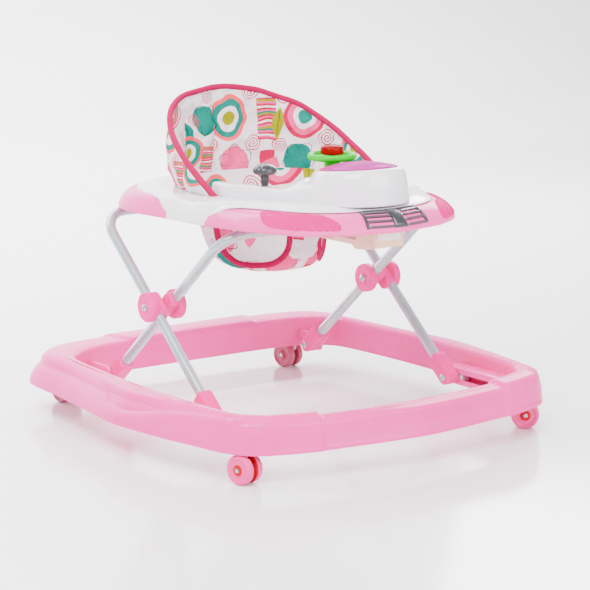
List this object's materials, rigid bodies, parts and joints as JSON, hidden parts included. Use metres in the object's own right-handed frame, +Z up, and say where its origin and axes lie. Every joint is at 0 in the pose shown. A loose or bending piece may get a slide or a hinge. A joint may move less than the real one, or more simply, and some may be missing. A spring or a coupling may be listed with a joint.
{
  "type": "baby walker",
  "caption": "Folding baby walker: wheeled oblong base hoop, scissor tube legs, play tray with toy steering wheel and dome, and a printed fabric seat.",
  "frame": {"origin": "on the floor, under the centre of the bounding box", "axes": "+Z up; the walker faces -Y; X is across it, and X = 0 is its plane of symmetry"},
  "size_m": [0.6666, 0.6962, 0.512],
  "materials": {
    "pink_plastic": "glossy moulded polypropylene",
    "bright_pink_plastic": "glossy moulded plastic",
    "white_plastic": "glossy moulded plastic",
    "magenta_lens": "tinted clear plastic",
    "picture_film": "printed film",
    "dark_plastic": "satin",
    "green_plastic": "glossy",
    "red_plastic": "glossy",
    "beige_plastic": "natural unpainted plastic",
    "coated_tube": "light grey powder coat",
    "steel": "zinc-plated",
    "printed_fabric": "printed cotton-polyester",
    "board": "stiff fibre board"
  },
  "bodies": {
    "base": {"base_hoop": "pink_plastic", "foot_pin_back_R": "steel", "foot_pin_back_L": "steel"},
    "rear_legs": {"leg_tube_inner": "coated_tube", "foot_inner_R": "bright_pink_plastic", "foot_inner_L": "bright_pink_plastic", "clamp_inner_R": "bright_pink_plastic", "clamp_inner_L": "bright_pink_plastic", "pivot_bolt_R": "steel", "pivot_bolt_L": "steel"},
    "front_legs": {"leg_tube_outer": "coated_tube", "foot_outer_R": "bright_pink_plastic", "foot_outer_L": "bright_pink_plastic", "clamp_outer_R": "bright_pink_plastic", "clamp_outer_L": "bright_pink_plastic"},
    "shoe_R": {"slide_shoe_R": "white_plastic", "foot_pin_front_R": "steel"},
    "shoe_L": {"slide_shoe_L": "white_plastic", "foot_pin_front_L": "steel"},
    "tray": {"tray_shell": "pink_plastic", "tray_cover": "white_plastic", "play_console": "white_plastic", "picture_disc": "picture_film", "dome_lens": "magenta_lens", "headlight_R": "magenta_lens", "headlight_L": "magenta_lens", "grille": "dark_plastic", "tray_clip_R": "white_plastic", "tray_clip_L": "white_plastic", "height_rack": "beige_plastic", "seat_back": "printed_fabric", "seat_board": "board", "seat_pouch": "printed_fabric", "seat_hook_front_R": "white_plastic", "seat_hook_front_L": "white_plastic", "seat_hook_back_R": "white_plastic", "seat_hook_back_L": "white_plastic"},
    "lock_lever": {"lock_lever": "beige_plastic"},
    "steering_wheel": {"steering_wheel": "green_plastic"},
    "horn_button": {"horn_button": "red_plastic"},
    "gear_lever": {"gear_lever": "dark_plastic"},
    "caster_front_R": {"caster_front_R_fork": "white_plastic"},
    "wheels_front_R": {"caster_front_R_wheel_1": "bright_pink_plastic", "caster_front_R_wheel_2": "bright_pink_plastic", "caster_front_R_axle": "steel"},
    "caster_front_L": {"caster_front_L_fork": "white_plastic"},
    "wheels_front_L": {"caster_front_L_wheel_1": "bright_pink_plastic", "caster_front_L_wheel_2": "bright_pink_plastic", "caster_front_L_axle": "steel"},
    "caster_back_R": {"caster_back_R_fork": "white_plastic"},
    "wheels_back_R": {"caster_back_R_wheel_1": "bright_pink_plastic", "caster_back_R_wheel_2": "bright_pink_plastic", "caster_back_R_axle": "steel"},
    "caster_back_L": {"caster_back_L_fork": "white_plastic"},
    "wheels_back_L": {"caster_back_L_wheel_1": "bright_pink_plastic", "caster_back_L_wheel_2": "bright_pink_plastic", "caster_back_L_axle": "steel"}
  },
  "joints": [
    {"name": "fold", "type": "hinge", "parent": "base", "child": "rear_legs", "pos_m": [0, 0.20394, 0.06098], "axis": [1, 0, 0], "range_deg": [0, 30.5]},
    {"name": "leg_cross", "type": "hinge", "parent": "rear_legs", "child": "front_legs", "pos_m": [0, 0.04, 0.201], "axis": [1, 0, 0], "range_deg": [-61, 0]},
    {"name": "tray_level", "type": "hinge", "parent": "front_legs", "child": "tray", "pos_m": [0, 0.18752, 0.32699], "axis": [1, 0, 0], "range_deg": [0, 30.5]},
    {"name": "shoe_R_pin", "type": "hinge", "parent": "front_legs", "child": "shoe_R", "pos_m": [0, -0.12394, 0.06098], "axis": [1, 0, 0], "range_deg": [0, 30.5]},
    {"name": "shoe_L_pin", "type": "hinge", "parent": "front_legs", "child": "shoe_L", "pos_m": [0, -0.12394, 0.06098], "axis": [1, 0, 0], "range_deg": [0, 30.5]},
    {"name": "steering_turn", "type": "hinge", "parent": "tray", "child": "steering_wheel", "pos_m": [0, -0.113, 0.429], "axis": [0, 0, 1], "continuous": true},
    {"name": "horn_press", "type": "slide", "parent": "steering_wheel", "child": "horn_button", "axis": [0, 0, -1], "range_m": [0, 0.003], "stiffness_N_per_m": 300, "springref_m": -0.003},
    {"name": "gear_shift", "type": "hinge", "parent": "tray", "child": "gear_lever", "pos_m": [-0.081, -0.052, 0.381], "axis": [1, 0, 0], "range_deg": [-20, 20]},
    {"name": "lock_pull", "type": "hinge", "parent": "tray", "child": "lock_lever", "pos_m": [0, -0.242, 0.318], "axis": [1, 0, 0], "range_deg": [-20, 0], "stiffness_Nm_per_rad": 0.4, "springref_deg": 20.05},
    {"name": "swivel_front_R", "type": "hinge", "parent": "base", "child": "caster_front_R", "pos_m": [-0.273, -0.263, 0.045], "axis": [0, 0, 1], "continuous": true},
    {"name": "roll_front_R", "type": "hinge", "parent": "caster_front_R", "child": "wheels_front_R", "pos_m": [-0.27131, -0.26979, 0.022], "axis": [0.9703, 0.2419, 0], "continuous": true},
    {"name": "swivel_front_L", "type": "hinge", "parent": "base", "child": "caster_front_L", "pos_m": [0.273, -0.263, 0.045], "axis": [0, 0, 1], "continuous": true},
    {"name": "roll_front_L", "type": "hinge", "parent": "caster_front_L", "child": "wheels_front_L", "pos_m": [0.26741, -0.25879, 0.022], "axis": [0.6018, 0.7986, 0], "continuous": true},
    {"name": "swivel_back_R", "type": "hinge", "parent": "base", "child": "caster_back_R", "pos_m": [-0.223, 0.301, 0.045], "axis": [0, 0, 1], "continuous": true},
    {"name": "roll_back_R", "type": "hinge", "parent": "caster_back_R", "child": "wheels_back_R", "pos_m": [-0.22422, 0.30789, 0.022], "axis": [0.9848, 0.1736, 0], "continuous": true},
    {"name": "swivel_back_L", "type": "hinge", "parent": "base", "child": "caster_back_L", "pos_m": [0.223, 0.301, 0.045], "axis": [0, 0, 1], "continuous": true},
    {"name": "roll_back_L", "type": "hinge", "parent": "caster_back_L", "child": "wheels_back_L", "pos_m": [0.22178, 0.30789, 0.022], "axis": [0.9848, 0.1736, 0], "continuous": true}
  ],
  "couplings": [
    {"joint": "leg_cross", "follows": "fold", "ratio": -2},
    {"joint": "tray_level", "follows": "fold", "ratio": 1},
    {"joint": "shoe_R_pin", "follows": "fold", "ratio": 1},
    {"joint": "shoe_L_pin", "follows": "fold", "ratio": 1}
  ]
}
